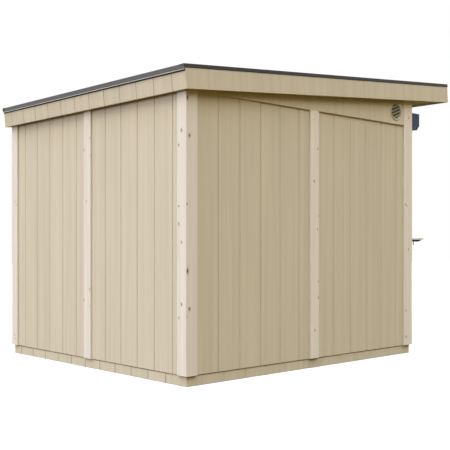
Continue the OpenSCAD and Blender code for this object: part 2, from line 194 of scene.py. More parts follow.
def spruce(name, look):
    # softwood: dark late rings in pale early wood, faint streaks along the board, and knots
    material, add, surface = newMaterial(name)
    grain = add("Attribute", {}, "Vector", attribute_name="grain")
    tone = add("Attribute", {}, "Fac", attribute_name="tone")
    knot = add("Attribute", {}, "Vector", attribute_name="knot")

    # distance from the knot's middle, in knot radii, longer along the board
    oval = add("VectorMath", {0: knot, 1: (1.0, 0.6, 0.0)}, operation="MULTIPLY")
    knotFar = add("VectorMath", {0: oval}, "Value", operation="LENGTH")
    swirl = add("MapRange", {0: knotFar, 1: 0.0, 2: 4.0, 3: 0.008, 4: 0.0}, interpolation_type="SMOOTHERSTEP")

    # growth rings about the heart of the tree, which lies beside the board
    spot = add("Mapping", {"Vector": grain, "Scale": (7, 7, 1.1)})       # 140 x 900 mm
    wander = add("TexNoise", {"Vector": spot, "Scale": 1.0}, "Color")
    drift = add("VectorMath", {0: wander, 1: (0.016, 0.016, 0.0)}, operation="MULTIPLY")
    moved = add("VectorMath", {0: grain, 1: drift}, operation="ADD")
    flat = add("VectorMath", {0: moved, 1: (1.0, 1.0, 0.0)}, operation="MULTIPLY")
    radius = add("VectorMath", {0: flat}, "Value", operation="LENGTH")
    bent = add("Math", {0: radius, 1: swirl}, operation="ADD")
    turns = add("Math", {0: bent, 1: 1000 / look["ring"]}, operation="MULTIPLY")
    part = add("Math", {0: turns}, operation="FRACT")
    late = add("MapRange", {0: part, 1: 0.35, 2: 0.95}, interpolation_type="SMOOTHSTEP")
    shown = add("Math", {0: late, 1: look["ringShow"]}, operation="MULTIPLY")
    wood = add("Mix", {0: shown, 6: linear(look["early"]), 7: linear(look["late"])}, 2, data_type="RGBA")

    # streaks, fibres and each board's own tone make it lighter or darker
    across = 1000 / look["streak"]
    spot = add("Mapping", {"Vector": grain, "Scale": (across, across, 0.7)})
    streak = add("TexNoise", {"Vector": spot, "Scale": 1.0}, "Fac")
    across = 1000 / look["fibre"]
    spot = add("Mapping", {"Vector": grain, "Scale": (across, across, 16)})
    fibre = add("TexNoise", {"Vector": spot, "Scale": 1.0, "Detail": 3.0}, "Fac")
    show = look["streakShow"]
    shade = add("MapRange", {0: streak, 1: 0.3, 2: 0.7, 3: 1 - show, 4: 1 + show / 2})
    ownTone = add("MapRange", {0: tone, 1: -1.0, 2: 1.0, 3: 0.98, 4: 1.02}, clamp=False)
    shade = add("Math", {0: shade, 1: ownTone}, operation="MULTIPLY")
    fleck = add("MapRange", {0: fibre, 1: 0.3, 2: 0.7, 3: 0.975, 4: 1.02})
    shade = add("Math", {0: shade, 1: fleck}, operation="MULTIPLY")
    wood = add("VectorMath", {0: wood, "Scale": shade}, operation="SCALE")

    # knots: a dark heart with a darker rim, and a warm halo
    halo = add("MapRange", {0: knotFar, 1: 0.8, 2: 2.6, 3: 0.45, 4: 0.0})
    warm = add("Mix", {0: halo, 6: wood, 7: linear("#B08A5C")}, 2, data_type="RGBA")
    heart = add("MapRange", {0: knotFar, 1: 0.7, 2: 1.1, 3: 0.9, 4: 0.0})
    colour = add("Mix", {0: heart, 6: warm, 7: linear(look["knot"])}, 2, data_type="RGBA")

    dull = add("MapRange", {0: fibre, 3: look["rough"] - 0.08, 4: look["rough"] + 0.08})
    height = add("Math", {0: late, 1: 0.4, 2: fibre}, operation="MULTIPLY_ADD")
    relief = add("Bump", {"Strength": look["relief"], "Distance": 0.6 * mm, "Height": height})
    plug(surface, {"Base Color": colour, "Roughness": dull, "Normal": relief})
    return material


coats = {       # peel is the width of one bump in the skin
    "anthraciteSheet": {      # folded steel, powder coated dark grey: satin, dusty where it faces up
        "colour": "#262426", "rough": 0.42, "settled": "#7C7A74", "dust": 0.5},
    "keySheenSheet": {          # the same coat on the back trim, painted paler: painted sheen of the key light on that side
        "colour": "#555457", "rough": 0.42, "settled": "#7C7A74", "dust": 0.5},
    "lipHighlightSheet": {             # the drip lip painted pale: a painted highlight where its folded edge catches the light
        "colour": "#B2AFA4", "rough": 0.4, "settled": "#7C7A74", "dust": 0.3},
    "shutterPaint": {         # aluminium, powder coated navy blue: even and satin
        "colour": "#1C355D", "rough": 0.45, "settled": "#8A8D92", "dust": 0.4},
    "barPaint": {             # extruded aluminium, powder coated slate blue
        "colour": "#3C4A5C", "rough": 0.42},
    "bracketPaint": {         # cut steel plate, powder coated olive grey: a fine peel, dull
        "colour": "#43463F", "rough": 0.5, "peel": 1.6},
    "ventPlastic": {          # moulded ABS, off-white: smooth with a soft sheen
        "colour": "#D0C9B8", "rough": 0.5, "peel": 3.0, "relief": 0.03},
    "ventSlatsShaded": {            # the same ABS made darker on the slats: painted shade of their place inside the flange
        "colour": "#9E9A84", "rough": 0.55, "peel": 3.0, "relief": 0.03},
    "gauze": {                # glass fibre fly screen, dipped in grey vinyl: dull
        "colour": "#6E6E66", "rough": 0.6},
    "whiteLaminate": {        # pressed laminate: hard, white, a little shiny
        "colour": "#F3F3F0", "rough": 0.3, "peel": 1.2, "relief": 0.03},
    "zincScrew": {            # steel, bright zinc plated: pale metal, blurred reflections
        "colour": "#B9B7B0", "rough": 0.35, "metal": 1.0},
    "blackRubber": {          # extruded rubber: black, matt, slightly grained
        "colour": "#1D1D1E", "rough": 0.7, "peel": 1.5, "relief": 0.2},
}


def coated(name, colour, rough, peel=2.0, relief=0.05, settled="#8A8A88", dust=0.0, metal=0.0):
    # a paint or a moulded skin: fine orange peel, small shifts of gloss, a little dust on what faces up
    material, add, surface = newMaterial(name)
    place = add("TexCoord", output="Object")
    skin = add("TexNoise", {"Vector": place, "Scale": 1000 / peel, "Detail": 1.0}, "Fac")
    patch = add("TexNoise", {"Vector": place, "Scale": 9.0, "Detail": 4.0}, "Fac")      # 110 mm
    up = add("SeparateXYZ", {0: add("NewGeometry", output="Normal")}, "Z")
    lying = add("MapRange", {0: up, 1: 0.3, 2: 1.0, 3: 0.0, 4: dust})
    lying = add("Math", {0: lying, 1: patch}, operation="MULTIPLY")
    shade = add("MapRange", {0: patch, 1: 0.25, 2: 0.75, 3: 0.94, 4: 1.06})
    base = add("VectorMath", {0: linear(colour)[:3], "Scale": shade}, operation="SCALE")
    mixed = add("Mix", {0: lying, 6: base, 7: linear(settled)}, 2, data_type="RGBA")
    gloss = add("MapRange", {0: patch, 1: 0.25, 2: 0.75, 3: rough - 0.05, 4: rough + 0.07})
    bump = add("Bump", {"Strength": relief, "Distance": 0.2 * mm, "Height": skin})
    plug(surface, {"Base Color": mixed, "Roughness": gloss, "Metallic": metal, "Normal": bump})
    return material


def brushedSteel(name):
    # stainless plate brushed lengthwise: hairlines 0.8 mm apart, coarser than real ones so that they show
    material, add, surface = newMaterial(name)
    place = add("TexCoord", output="Object")
    lines = add("VectorMath", {0: place, 1: (1250, 1250, 20)}, operation="MULTIPLY")
    hair = add("TexNoise", {"Vector": lines, "Scale": 1.0, "Detail": 3.0}, "Fac")
    gloss = add("MapRange", {0: hair, 1: 0.3, 2: 0.7, 3: 0.22, 4: 0.42})
    bump = add("Bump", {"Strength": 0.08, "Distance": 0.05 * mm, "Height": hair})
    plug(surface, {"Base Color": linear("#C4C2BD"), "Roughness": gloss, "Metallic": 1.0, "Normal": bump})
    return material


def roofMembrane(name):
    # rubber roofing sheet: matt black with 3 mm grit, chalky in 250 to 550 mm clouds where rain has dried
    material, add, surface = newMaterial(name)
    place = add("TexCoord", output="Object")
    spread = add("VectorMath", {0: place, 1: (4.0, 1.8, 1.8)}, operation="MULTIPLY")
    cloud = add("TexNoise", {"Vector": spread, "Scale": 1.0, "Detail": 7.0, "Roughness": 0.65}, "Fac")
    grit = add("TexNoise", {"Vector": place, "Scale": 1000 / 3.0, "Detail": 2.0}, "Fac")
    chalk = add("MapRange", {0: cloud, 1: 0.40, 2: 0.78, 3: 0.0, 4: 0.4})
    colour = add("Mix", {0: chalk, 6: linear("#2B2C2E"), 7: linear("#5A5955")}, 2, data_type="RGBA")
    dull = add("MapRange", {0: cloud, 1: 0.3, 2: 0.7, 3: 0.62, 4: 0.85})
    bump = add("Bump", {"Strength": 0.25, "Distance": 0.4 * mm, "Height": grit})
    plug(surface, {"Base Color": colour, "Roughness": dull, "Normal": bump})
    return material


finish = {name: spruce(name, look) for name, look in woods.items()}
finish.update({name: coated(name, **look) for name, look in coats.items()})
finish["stainless"] = brushedSteel("stainless")
finish["roofRubber"] = roofMembrane("roofRubber")
print("materials made:", len(finish))


farKnot = (9.0, 9.0, 0.0)        # what the knot attribute holds where there is no knot
sideways, backwards, upwards = Vector((1, 0, 0)), Vector((0, 1, 0)), Vector((0, 0, 1))
upright = Matrix.Identity(4)


def newMesh():
    mesh = bmesh.new()
    mesh.verts.layers.float_vector.new("grain")
    mesh.verts.layers.float.new("tone")
    mesh.loops.layers.float_vector.new("knot")
    return mesh


def makePiece(name, mesh, material, node=None):
    # node is the CAD node that the piece takes the place of
    bmesh.ops.recalc_face_normals(mesh, faces=mesh.faces)
    piece = makeObject(name, mesh, finish[material])
    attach(piece, "root")
    if node:
        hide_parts(node)
    return piece


def frameAt(spot, u, v, w):
    # the frame at a spot whose own axes point along u, v and w
    matrix = Matrix((u, v, w)).transposed().to_4x4()
    matrix.translation = Vector(spot)
    return matrix


def alongX(x, y, z=0.0, sign=1):
    # a frame to sweep in along x: u points along y, or against it, and v up
    return frameAt((x, y, z), sign * backwards, upwards, sideways)


def pointing(spot, direction):
    # a frame whose w axis points in the given direction
    matrix = Vector(direction).to_track_quat("Z", "Y").to_matrix().to_4x4()
    matrix.translation = Vector(spot)
    return matrix


def inMm(points):
    return [tuple(size * mm for size in point) for point in points]


def arc(u, v, radius, start, end, steps):
    # points on part of a circle, with angles in degrees
    angles = [math.radians(start + (end - start) * i / steps) for i in range(steps + 1)]
    return [(u + radius * math.cos(angle), v + radius * math.sin(angle)) for angle in angles]


def roundedBox(width, depth, front, back, steps=1):
    # outline of a bar whose face is at v = depth; front and back are its edges' radii, or bevels at 1 step
    return (arc(width - back, back, back, -90, 0, steps)
            + arc(width - front, depth - front, front, 0, 90, steps)
            + arc(front, depth - front, front, 90, 180, steps)
            + arc(back, back, back, 180, 270, steps))


def addVert(mesh, spot, grain, tone):
    vert = mesh.verts.new(spot)
    vert[mesh.verts.layers.float_vector["grain"]] = grain
    vert[mesh.verts.layers.float["tone"]] = tone
    return vert


def addFace(mesh, corners, knots=None):
    # knots holds the knot attribute at each corner
    layer = mesh.loops.layers.float_vector["knot"]
    face = mesh.faces.new(corners)
    for loop, knot in zip(face.loops, knots or [farKnot] * len(corners)):
        loop[layer] = knot


def addBar(mesh, place, outline, length, heart=(0, 0, 0), tone=0.0, bevelLow=0.0, knots=(), cut=None):
    # sweeps an outline along w, divided halfway between knots; cut is a plane that its far end is moved to
    top = max(v for u, v in outline)
    wide = max(u for u, v in outline)
    along = (place.to_3x3() @ upwards).normalized()
    # each ring's height, and how far the face is set back there
    stations = [(0.0, bevelLow), (bevelLow, 0.0)] if bevelLow else [(0.0, 0.0)]
    heights = sorted(knot[2] for knot in knots)
    stations += [((a + b) / 2, 0.0) for a, b in zip(heights, heights[1:]) if b - a > 2 * mm]
    stations.append((length, 0.0))
    rings = []
    for w, back in stations:
        ring = []
        for u, v in outline:
            v = min(v, top - back)
            spot = place @ Vector((u, v, w))
            if cut and w == length:
                spot += along * ((cut[0] - spot).dot(cut[1]) / along.dot(cut[1]))
            ring.append(addVert(mesh, spot, (u + heart[0], v + heart[1], w + heart[2]), tone))
        rings.append(ring)
    sides = {"front": (1, top), "back": (1, 0.0), "left": (0, 0.0), "right": (0, wide)}
    for i in range(len(rings) - 1):
        low, high = stations[i][0], stations[i + 1][0]
        for j in range(len(outline)):
            k = (j + 1) % len(outline)
            onFace = None
            for side, across, w, size in knots:
                axis, level = sides[side]
                if low <= w <= high and all(abs(outline[m][axis] - level) < 1e-6 for m in (j, k)):
                    onFace = [((outline[m][1 - axis] - across) / size, (end - w) / size, 0)
                              for m, end in ((j, low), (k, low), (k, high), (j, high))]
            addFace(mesh, (rings[i][j], rings[i][k], rings[i + 1][k], rings[i + 1][j]), onFace)
    addFace(mesh, rings[0])
    addFace(mesh, rings[-1])
    return rings


sawing = {
    "heart": ((-0.05, 0.05), (0.02, 0.09), (0, 90)),        # the tree's heart, from a board's corner
    "knotAcross": (0.15, 0.85),     # of the width
    "knotStray": (0.5, 1.5),        # of the spacing
    "knotEnds": (0.1, 0.05),        # how near a scattered knot may lie to a board's two ends
}


def boardHeart(rng):
    return Vector([rng.uniform(*reach) for reach in sawing["heart"]])


def addBoard(mesh, base, lo, hi, along, out, sign, rng, front=3 * mm, back=1 * mm, steps=1,
             bevelLow=0.0, tone=None, knots=(), cut=None):
    # fills a box in the base frame; the board runs along one axis and its face looks out on another
    across = 3 - along - out
    axes = [Vector(), Vector(), Vector()]
    axes[0][across], axes[1][out], axes[2][along] = 1, sign, 1
    corner = Vector(lo)
    corner[out] = (lo if sign > 0 else hi)[out]
    width = hi[across] - lo[across]
    heart = boardHeart(rng) - Vector((width / 2, 0, 0))
    tone = rng.uniform(-1, 1) if tone is None else tone
    addBar(mesh, base @ frameAt(corner, *axes), roundedBox(width, hi[out] - lo[out], front, back, steps),
           hi[along] - lo[along], heart, tone, bevelLow, knots, cut)


def spans(low, high, joint, pitch, gap, least=12 * mm):
    # the two edges of each board between low and high, with joints at joint + any number of pitches
    edge = joint + pitch * math.ceil((low - joint) / pitch)
    joints = []
    while edge < high - least:
        if edge > low + least:
            joints.append(edge)
        edge += pitch
    starts, ends = [low], []
    for edge in joints:
        ends.append(edge - gap / 2)
        starts.append(edge + gap / 2)
    return list(zip(starts, ends + [high]))


def between(lo, hi, axis, a, b):
    # the part of a box between two levels on one axis
    low, high = Vector(lo), Vector(hi)
    low[axis], high[axis] = sorted((a, b))
    return low, high


def randomKnots(rng, width, length, spacing, smallest, largest, side="front"):
    # knots scattered along one face of a board
    knots = []
    foot, top = sawing["knotEnds"]
    spot = rng.uniform(foot, spacing)
    while spot < length - top:
        across = rng.uniform(*sawing["knotAcross"]) * width
        knots.append((side, across, spot, rng.uniform(smallest, largest)))
        spot += rng.uniform(*sawing["knotStray"]) * spacing
    return knots


def joinRings(mesh, rings):
    # faces from each ring of corners to the next; a ring of one corner is a tip
    for low, high in zip(rings, rings[1:]):
        for i in range(max(len(low), len(high))):
            corners = [ring[j % len(ring)] for ring, j in ((low, i), (low, i + 1), (high, i + 1), (high, i))]
            corners = list(dict.fromkeys(corners))
            if len(corners) > 2:
                mesh.faces.new(corners)


def addTurned(mesh, place, profile, steps=24):
    # turns (radius, height) points about w; a radius of 0 closes the end
    rings = []
    for radius, height in profile:
        spots = arc(0, 0, radius, 0, 360, steps)[:-1 if radius else 1]
        rings.append([mesh.verts.new(place @ Vector((u, v, height))) for u, v in spots])
    joinRings(mesh, rings)


# a pan head with a hollow drive: shares of its radius and height
screwHead = ((0, 0), (1, 0), (1, 0.35), (0.8, 0.85), (0.5, 1), (0.38, 1), (0.3, 0.5), (0, 0.5))


def addScrew(mesh, spot, direction, radius, height):
    addTurned(mesh, pointing(spot, direction), [(radius * r, height * h) for r, h in screwHead], 12)


def nodeSpots(name, base=upright):
    # a CAD node's corners in a frame
    back = base.inverted()
    return [back @ v.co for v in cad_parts[name].data.vertices]


def boxOf(spots):
    return Vector(map(min, *spots)), Vector(map(max, *spots))


def nodeBox(name, base=upright):
    return boxOf(nodeSpots(name, base))


def solidsOf(name, base=upright):
    # the box of each separate solid in a CAD node, in a frame
    back = base.inverted()
    mesh = bmesh.new()
    mesh.from_mesh(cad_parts[name].data)
    bmesh.ops.remove_doubles(mesh, verts=mesh.verts, dist=0.01 * mm)
    left, boxes = set(mesh.verts), []
    while left:
        group, edge = set(), [left.pop()]
        while edge:
            vert = edge.pop()
            group.add(vert)
            edge += [v for e in vert.link_edges for v in e.verts if v not in group and v not in edge]
        left -= group
        boxes.append(boxOf([back @ v.co for v in group]))
    mesh.free()
    return sorted(boxes, key=lambda box: tuple(box[0]))


def roofFrame():
    # x across, y up the slope from the back edge, z square to the roof: read from a side fascia's lower edge
    spots = nodeSpots("fascia_left")
    lowBack = min(spots, key=lambda s: (round(s.z, 5), -s.y))
    lowFront = min(spots, key=lambda s: (round(s.y, 5), s.z))
    upSlope = Vector((0, lowFront.y - lowBack.y, lowFront.z - lowBack.z)).normalized()
    square = Vector((0, -upSlope.z, upSlope.y))
    square = square if square.z > 0 else -square
    return frameAt((0, lowBack.y, lowBack.z), sideways, upSlope, square)


roof = roofFrame()
rafterUnder = nodeBox("rafters", roof)[0].z
underRoof = (roof @ Vector((0, 0, rafterUnder)), (roof.to_3x3() @ upwards).normalized())
print("mesh tools ready")


cladding = {
    "boardWidth": 209.8 * mm,       # joint to joint
    "thickness": 19 * mm,
    "bevel": 4.2 * mm,              # along each joint, so that two boards make a vee
    "gap": 2.2 * mm,                # left open at the foot of the vee
    "drip": 2.2 * mm,               # bevel along the lower end
    "liningWidth": 121 * mm,
    "liningThickness": 12 * mm,
    "liningBevel": 2 * mm,
    "liningShift": 30 * mm,         # from the boards' joints to the lining's
    "liningGap": 0.6 * mm,
    "rail": 45 * mm,                # height of the frame's rails
    "railClear": 1 * mm,            # between their ends and the posts
    "topRailDown": 30 * mm,         # how far the top rail is lowered under the slope
}
tongue = {      # on one board's edge, in the next one's groove: it closes the joint
    "halfWidth": 3 * mm,
    "start": 2 * mm,                # from the boards' inner face
    "end": 4 * mm,
    "behind": 0.7 * mm,             # how far a near-black one, the painted shade of an open joint, lies behind the face
    "ends": 1 * mm,                 # short of the boards at each end
    "edge": 0.5 * mm,
}
walls = {       # the axis it faces, its side, where one joint is, how much wider its joints have dried
    "back_panel_left": (1, 1, 1.0214, 1.6 * mm),
    "back_panel_right": (1, 1, 1.0214, 1.6 * mm),
    "left_panel_back": (0, -1, 1.009, 0),
    "left_panel_front": (0, -1, 1.009, 0),
    "right_panel_back": (0, 1, 1.009, 0),
    "front_parapet": (1, -1, 1.0214, 0),
    "front_header": (1, -1, 1.0214, 0),
}


def addBoards(mesh, base, lo, hi, along, out, sign, joint, pitch, gap, rng, least=12 * mm, shadeTongues=None,
              **shape):
    # boards side by side in a box, with a tongue in each joint; the optional mesh takes tongues set near the
    # face, made near-black as painted shade in the open joint
    across = 3 - along - out
    inside = (lo if sign > 0 else hi)[out]
    end = hi[out] - lo[out] - tongue["behind"] if shadeTongues else tongue["end"]
    for i, (a, b) in enumerate(spans(lo[across], hi[across], joint, pitch, gap, least)):
        low, high = between(lo, hi, across, a, b)
        addBoard(mesh, base, low, high, along, out, sign, rng, **shape)
        if i:
            middle = a - gap / 2
            low, high = between(lo, hi, across, middle - tongue["halfWidth"], middle + tongue["halfWidth"])
            low, high = between(low, high, out, inside + sign * tongue["start"], inside + sign * end)
            low[along] += tongue["ends"]
            high[along] -= tongue["ends"]
            addBoard(shadeTongues or mesh, base, low, high, along, out, sign, random.Random(i), tongue["edge"],
                     tongue["edge"], cut=shape.get("cut"))


def makeWall(name, out, sign, joint, dried):
    lo, hi = nodeBox(name)
    rng = random.Random(name)
    sloped = underRoof if name.startswith("back") or name == "front_header" else None
    inside, face = (lo[out], hi[out]) if sign > 0 else (hi[out], lo[out])
    skin = face - sign * cladding["thickness"]
    lining = inside + sign * cladding["liningThickness"]
    mesh = newMesh()
    low, high = between(lo, hi, out, skin, face)
    addBoards(mesh, upright, low, high, 2, out, sign, joint, cladding["boardWidth"],
              cladding["gap"] + dried, rng, front=cladding["bevel"], bevelLow=cladding["drip"], cut=sloped)
    low, high = between(lo, hi, out, lining, skin)
    low[1 - out] += cladding["railClear"]
    high[1 - out] -= cladding["railClear"]
    for level in (0.0, 0.5, 1.0):       # the frame's rails, behind the boards
        low.z = lo.z + (hi.z - lo.z - cladding["rail"]) * level
        low.z -= level * cladding["topRailDown"] if sloped else 0
        high.z = low.z + cladding["rail"]
        addBoard(mesh, upright, low, high, 1 - out, out, sign, rng)
    makePiece(name + "_boards", mesh, "claddingSpruce", name)
    mesh = newMesh()
    low, high = between(lo, hi, out, inside, lining)
    addBoards(mesh, upright, low, high, 2, out, -sign, joint + cladding["liningShift"],
              cladding["liningWidth"], cladding["liningGap"], rng, front=cladding["liningBevel"], cut=sloped)
    makePiece(name + "_lining", mesh, "liningSpruce")


for name, settings in walls.items():
    makeWall(name, *settings)

gable = {
    "joint": 0.0600,
    "boardWidth": 208.5 * mm,
    "bevel": 0.8 * mm,
    "gap": 0.3 * mm,
    "drip": 2 * mm,
    "bore": 65 * mm,            # radius of the hole behind the vent
    "boreSteps": 48,
    "boredTone": 2.5,           # a paler board
}


def addBored(mesh, place, corners, depth, bevel, rng):
    # a board with a round hole; corners are measured across and along from the hole's middle
    heart, hole = boardHeart(rng), gable["bore"]
    angles = [2 * math.pi * i / gable["boreSteps"] for i in range(gable["boreSteps"])]
    angles += [math.atan2(w, u) % (2 * math.pi) for u, w in corners]
    rings = []
    for angle in sorted(angles):
        ray = Vector((math.cos(angle), math.sin(angle)))
        reach = 1.0         # to the board's edge
        for (u0, w0), (u1, w1) in zip(corners, corners[1:] + corners[:1]):
            facing = Vector((w1 - w0, u0 - u1)).normalized()
            if ray.dot(facing) > 1e-6:
                reach = min(reach, Vector((u0, w0)).dot(facing) / ray.dot(facing))
        spots = [Vector((ray.x * far, v, ray.y * far)) for far, v in
                 ((hole, 0), (hole, depth), (reach - bevel, depth), (reach, depth - bevel), (reach, 0))]
        rings.append([addVert(mesh, place @ spot, spot + heart, gable["boredTone"]) for spot in spots])
    for ring, after in zip(rings, rings[1:] + rings[:1]):
        for i in range(len(ring)):
            j = (i + 1) % len(ring)
            addFace(mesh, (ring[i], ring[j], after[j], after[i]))


def makeGable(name, sign, ventNode):
    lo, hi = nodeBox(name)
    middle = sum(nodeBox(ventNode), Vector()) / 2
    rng = random.Random(name)
    face, behind = (hi.x, lo.x) if sign > 0 else (lo.x, hi.x)
    parting = face - sign * cladding["thickness"]
    mesh = newMesh()
    for a, b in spans(lo.y, hi.y, gable["joint"], gable["boardWidth"], gable["gap"]):
        if a < middle.y < b:
            top = [underRoof[0].z - (y - underRoof[0].y) * underRoof[1].y / underRoof[1].z for y in (a, b)]
            corners = [(a, lo.z), (b, lo.z), (b, top[1]), (a, top[0])]
            corners = [(y - middle.y, z - middle.z) for y, z in corners]
            for start, end, bevel in ((parting, face, gable["bevel"]), (behind, parting, 0)):
                place = frameAt((start, middle.y, middle.z), backwards, sign * sideways, upwards)
                addBored(mesh, place, corners, abs(end - start), bevel, rng)
            continue
        low, high = between(*between(lo, hi, 1, a, b), 0, parting, face)
        addBoard(mesh, upright, low, high, 2, 0, sign, rng, front=gable["bevel"], bevelLow=gable["drip"],
                 cut=underRoof)
        low, high = between(low, high, 0, parting, behind)
        addBoard(mesh, upright, low, high, 2, 0, -sign, rng, front=cladding["liningBevel"], cut=underRoof)
    makePiece(name + "_boards", mesh, "claddingSpruce", name)


makeGable("gable_left", -1, "vent_left")
makeGable("gable_right", 1, "vent_right")
print("walls boarded")


posts = {
    "edge": 3 * mm,
    "drip": 2 * mm,
    "knots": {      # on each side: distance across it, height above the foot and radius, in mm
        "post_back_left": {
            "front": ((51, 496, 6), (51, 1699, 6), (82, 405, 5), (82, 1600, 5), (82, 1178, 5), (82, 1052, 5),
                      (51, 925, 4.5)),
            "left": ((93, 728, 10), (93, 1925, 9), (73, 467, 7), (73, 1661, 7), (96, 1186, 5), (99, 411, 4))},
        "post_back_middle": {
            "front": ((6, 554, 4.5), (6, 1752, 4.5), (95, 462, 4.5), (95, 1665, 4.5), (59, 1253, 4),
                      (2, 418, 4.5), (2, 1613, 4.5))},
        "post_left_middle": {
            "front": ((15, 1673, 4), (58, 1411, 5), (2, 1135, 4.5), (18, 1029, 4), (9, 611, 4), (9, 483, 4.5),
                      (48, 224, 4.5))},
        "post_front_left": {
            "front": ((56, 2047, 5), (56, 861, 4.5), (100, 1264, 4.5), (82, 1254, 4), (92, 313, 4),
                      (92, 77, 5)),
            "left": ((50, 520, 5), (70, 1750, 6))},
        "post_back_right": {
            "front": ((41, 1291, 4), (5, 1261, 4), (45, 91, 4), (37, 60, 3.5)),
            "right": ((62, 1820, 6), (30, 940, 5), (55, 310, 6))},
    },
    "scattered": (0.42, 3.5 * mm, 7 * mm),      # knots on the other posts: spacing, smallest, largest
    "tone": {"post_back_left": 1.0, "post_left_middle": 3.6, "post_front_left": 3.6},     # made paler as painted light: the posts on the left wall, which the lamps light less
    "facing": {
        "post_back_left": (1, 1), "post_back_right": (1, 1), "post_back_middle": (1, 1),
        "post_left_middle": (0, -1), "post_right_middle": (0, 1),
        "post_front_left": (0, -1), "post_front_right": (0, 1)},
}


def makePost(name, out, sign):
    lo, hi = nodeBox(name)
    rng = random.Random(name)
    knots = [(side, *knot) for side, chosen in posts["knots"].get(name, {}).items() for knot in inMm(chosen)]
    if not knots:
        wide, deep = hi[1 - out] - lo[1 - out], hi[out] - lo[out]
        for side, width in (("front", wide), ("left", deep), ("right", deep)):
            knots += randomKnots(rng, width, hi.z - lo.z, *posts["scattered"], side)
    sloped = None if name in ("post_left_middle", "post_right_middle") else underRoof
    mesh = newMesh()
    addBoard(mesh, upright, lo, hi, 2, out, sign, rng, front=posts["edge"], back=posts["edge"], steps=2,
             bevelLow=posts["drip"], tone=posts["tone"].get(name, 0.0), knots=knots, cut=sloped)
    makePiece(name + "_timber", mesh, "postSpruce", name)


for name, (out, sign) in posts["facing"].items():
    makePost(name, out, sign)
print("posts made")

edging = {      # short upright boards round the plinth and the roof
    "boardWidth": 209.6 * mm,
    "wideGap": 2 * mm,          # a wider one shows a near-black tongue: painted shade in the open joint
    "plinth": {
        "base": upright, "drip": 2.4 * mm, "under": 5 * mm,         # an open joint over their upper edges
        "sides": {      # the axis across the face, its side, where one joint is, the joint's bevel and gap
            "plinth_back": (1, 1, 1.105, 0.8 * mm, 4.6 * mm),
            "plinth_front": (1, -1, 1.105, 3.2 * mm, 0.8 * mm),
            "plinth_left": (0, -1, 0.7394, 3.2 * mm, 0.8 * mm),
            "plinth_right": (0, 1, 0.7394, 3.2 * mm, 0.8 * mm)}},
    "fascia": {
        "base": roof, "drip": 0.8 * mm, "under": 0.0,
        "sides": {
            "fascia_back": (1, -1, 1.1628, 0.8 * mm, 3.3 * mm),
            "fascia_front": (1, 1, 1.1628, 2 * mm, 1 * mm),
            "fascia_left": (0, -1, 0.2003, 0.6 * mm, 0.2 * mm),
            "fascia_right": (0, 1, 0.2003, 2 * mm, 1 * mm)}},
}


def makeEdging(name, kind, base, drip, under, out, sign, joint, bevel, gap):
    lo, hi = nodeBox(name, base)
    hi.z -= under
    mesh = newMesh()
    shadeTongues = newMesh() if gap > edging["wideGap"] else None
    addBoards(mesh, base, lo, hi, 2, out, sign, joint, edging["boardWidth"], gap, random.Random(name),
              front=bevel, bevelLow=drip, shadeTongues=shadeTongues)
    # the near-black tongues are painted shade in the open joints
    if shadeTongues:
        makePiece(name + "_joints", shadeTongues, "jointShadeSpruce")
    makePiece(name + "_boards", mesh, "claddingSpruce", name)


for kind in ("plinth", "fascia"):
    edge = edging[kind]
    for name, settings in edge["sides"].items():
        makeEdging(name, kind, edge["base"], edge["drip"], edge["under"], *settings)
print("plinth and fascias boarded")

decking = {
    "gap": 0.8 * mm,
    "least": 30 * mm,           # no board is narrower
    "layers": {     # over joists or under rafters: frame, side that shows, width, bevel, material, slot
        "floor_deck": (upright, 1, 121 * mm, 2.0 * mm, "floorSpruce", "floor_boards"),
        "roof_deck": (roof, -1, 121 * mm, 2.0 * mm, "liningSpruce", "roof_boards"),
        "front_soffit": (roof, -1, 96 * mm, 2.5 * mm, "claddingSpruce", "soffit_boards")},
}
for name, (base, sign, width, bevel, material, slotName) in decking["layers"].items():
    lo, hi = nodeBox(name, base)
    mesh = newMesh()
    addBoards(mesh, base, lo, hi, 0, 2, sign, lo[1], width, decking["gap"], random.Random(name),
              decking["least"], front=bevel)
    makePiece(name + "_boards", mesh, material, name)

timbers = {
    "edge": 2 * mm,
    "knots": (0.5, 5 * mm, 10 * mm),        # spacing, smallest, largest
    "rows": {       # frame, axis along them
        "floor_bearers": (upright, 1),
        "rafters": (roof, 1),
        "eave_blocks": (roof, 0)},
}
for name, (base, along) in timbers["rows"].items():
    rng = random.Random(name)
    mesh = newMesh()
    for lo, hi in solidsOf(name, base):
        knots = randomKnots(rng, hi.z - lo.z, hi[along] - lo[along], *timbers["knots"])
        addBoard(mesh, base, lo, hi, along, 1 - along, 1, rng, timbers["edge"], timbers["edge"], knots=knots)
    makePiece(name + "_timber", mesh, "sawnSpruce", name)
print("floor and roof timbers made")

sheet = {
    "width": 1.0,               # of a sheet on the roll
    "lap": 80 * mm,
    "fall": 25 * mm,            # over which the upper sheet comes down from the lap
    "thickness": 1.1 * mm,
}


def makeRoofSheets():
    # sheets laid across the slope from the low edge, each over the one below
    lo, hi = nodeBox("roof_covering", roof)
    mesh = newMesh()
    start, above = lo.y, lo.z + sheet["thickness"]
    while start < hi.y:
        end = min(start + sheet["width"], hi.y)
        lap = min(start + sheet["lap"], end)
        outline = [(start, lo.z), (start, above), (end, above), (end, lo.z)]
        if start > lo.y:
            outline = [(start, above), (start, hi.z), (lap, hi.z), (lap + sheet["fall"], above), (end, above),
                       (end, lo.z), (lap, lo.z)]
        addBar(mesh, roof @ alongX(lo.x, 0), outline, hi.x - lo.x)
        start += sheet["width"] - sheet["lap"]
    makePiece("roof_sheets", mesh, "roofRubber", "roof_covering")


makeRoofSheets()

